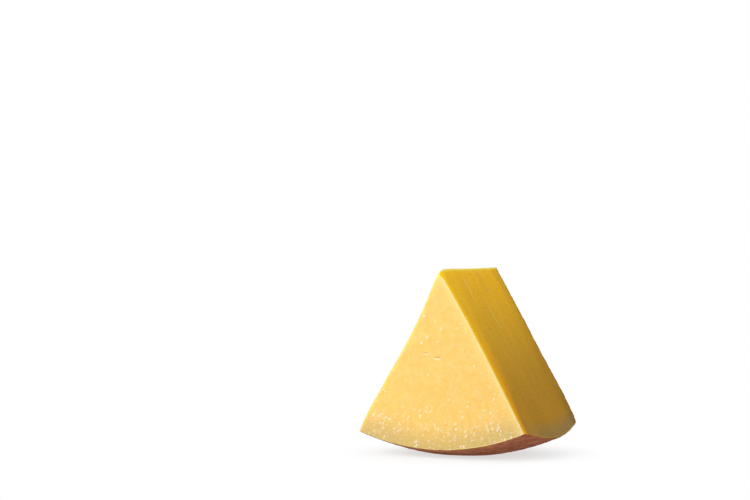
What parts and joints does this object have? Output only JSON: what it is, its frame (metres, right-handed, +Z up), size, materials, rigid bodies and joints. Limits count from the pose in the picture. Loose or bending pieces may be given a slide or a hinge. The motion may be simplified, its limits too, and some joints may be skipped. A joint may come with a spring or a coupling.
{
  "type": "cheese wedge",
  "caption": "Wedge of semi-hard cheese cut from a round wheel, standing on its curved rind with the point up and a bare flat face to the front.",
  "frame": {"origin": "centre of the bounding box at its base, on the surface that the wedge stands on", "axes": "+Z up from the rind to the point, -Y out of the trimmed flat face at the front, +X to the viewer's right; the wheel that it was cut from had its axis along Y"},
  "size_m": [0.1534, 0.1, 0.147],
  "materials": {
    "cheese": "moist, faintly waxy bare paste on the cut faces, matt brown dried rind on the curved outside and the far side"
  },
  "bodies": {
    "root": {"cheese_wedge": "cheese"}
  },
  "joints": []
}
